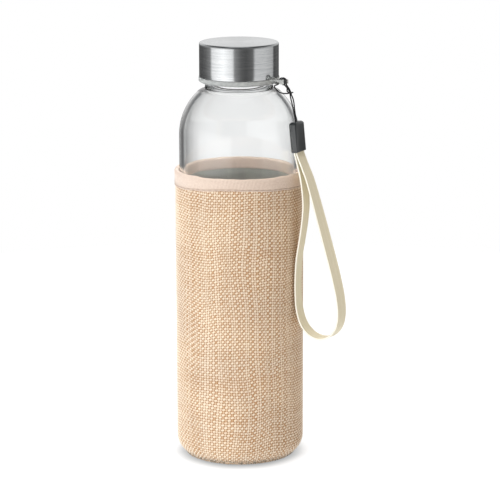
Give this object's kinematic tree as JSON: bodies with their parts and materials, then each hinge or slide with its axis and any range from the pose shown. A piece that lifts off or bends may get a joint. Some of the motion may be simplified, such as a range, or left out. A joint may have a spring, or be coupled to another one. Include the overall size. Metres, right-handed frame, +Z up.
{
  "type": "glass water bottle with sleeve",
  "caption": "Round glass drinking bottle with a brushed steel screw cap, a sewn woven sleeve with a bound rim, and a wrist strap on the cap's ring.",
  "frame": {"origin": "centre of the sleeve's flat base, where it stands on a surface", "axes": "+Z up along the bottle's axis; -Y is the front; the wrist strap hangs at 29 degrees from +X towards -Y"},
  "size_m": [0.0889, 0.068, 0.22],
  "materials": {
    "woven_cover": "coarse plain weave, matt",
    "binding": "ribbed tape, matt",
    "thread": "twisted sewing thread",
    "lining": "smooth knit over thin foam",
    "glass": "clear, polished",
    "steel": "brushed round the side and in rings on top",
    "cap_plastic": "translucent moulded plastic",
    "seal": "soft silicone",
    "cord": "fine braided cord",
    "clip": "moulded, satin",
    "strap": "ribbed woven tape"
  },
  "bodies": {
    "sleeve": {"sleeve_cover": "woven_cover", "sleeve_base": "woven_cover", "base_seam": "woven_cover", "sleeve_lining": "lining", "base_lining": "lining", "rim_binding": "binding", "binding_stitches": "thread"},
    "bottle": {"glass_bottle": "glass"},
    "ring": {"strap_ring": "cap_plastic"},
    "cap": {"cap_shell": "steel", "cap_insert": "cap_plastic", "cap_seal": "seal"},
    "strap": {"strap_cord": "cord", "clip_back": "clip", "clip_front": "clip", "wrist_strap": "strap"}
  },
  "joints": [
    {"name": "bottle_lift", "type": "slide", "parent": "sleeve", "child": "bottle", "axis": [0, 0, 1], "range_m": [0, 0.16]},
    {"name": "cap_rise", "type": "slide", "parent": "bottle", "child": "ring", "axis": [0, 0, 1], "range_m": [0, 0.0211]},
    {"name": "cap_turn", "type": "hinge", "parent": "ring", "child": "cap", "pos_m": [0, 0, 0.21], "axis": [0, 0, 1], "range_deg": [0, 1800]},
    {"name": "strap_swing", "type": "hinge", "parent": "ring", "child": "strap", "pos_m": [0.02624, -0.01454, 0.196], "axis": [-0.4848, -0.8746, 0], "range_deg": [0, 110], "deforming": ["strap_cord"]}
  ],
  "couplings": [
    {"joint": "cap_rise", "follows": "cap_turn", "m_per_rad": 0.00066845}
  ]
}
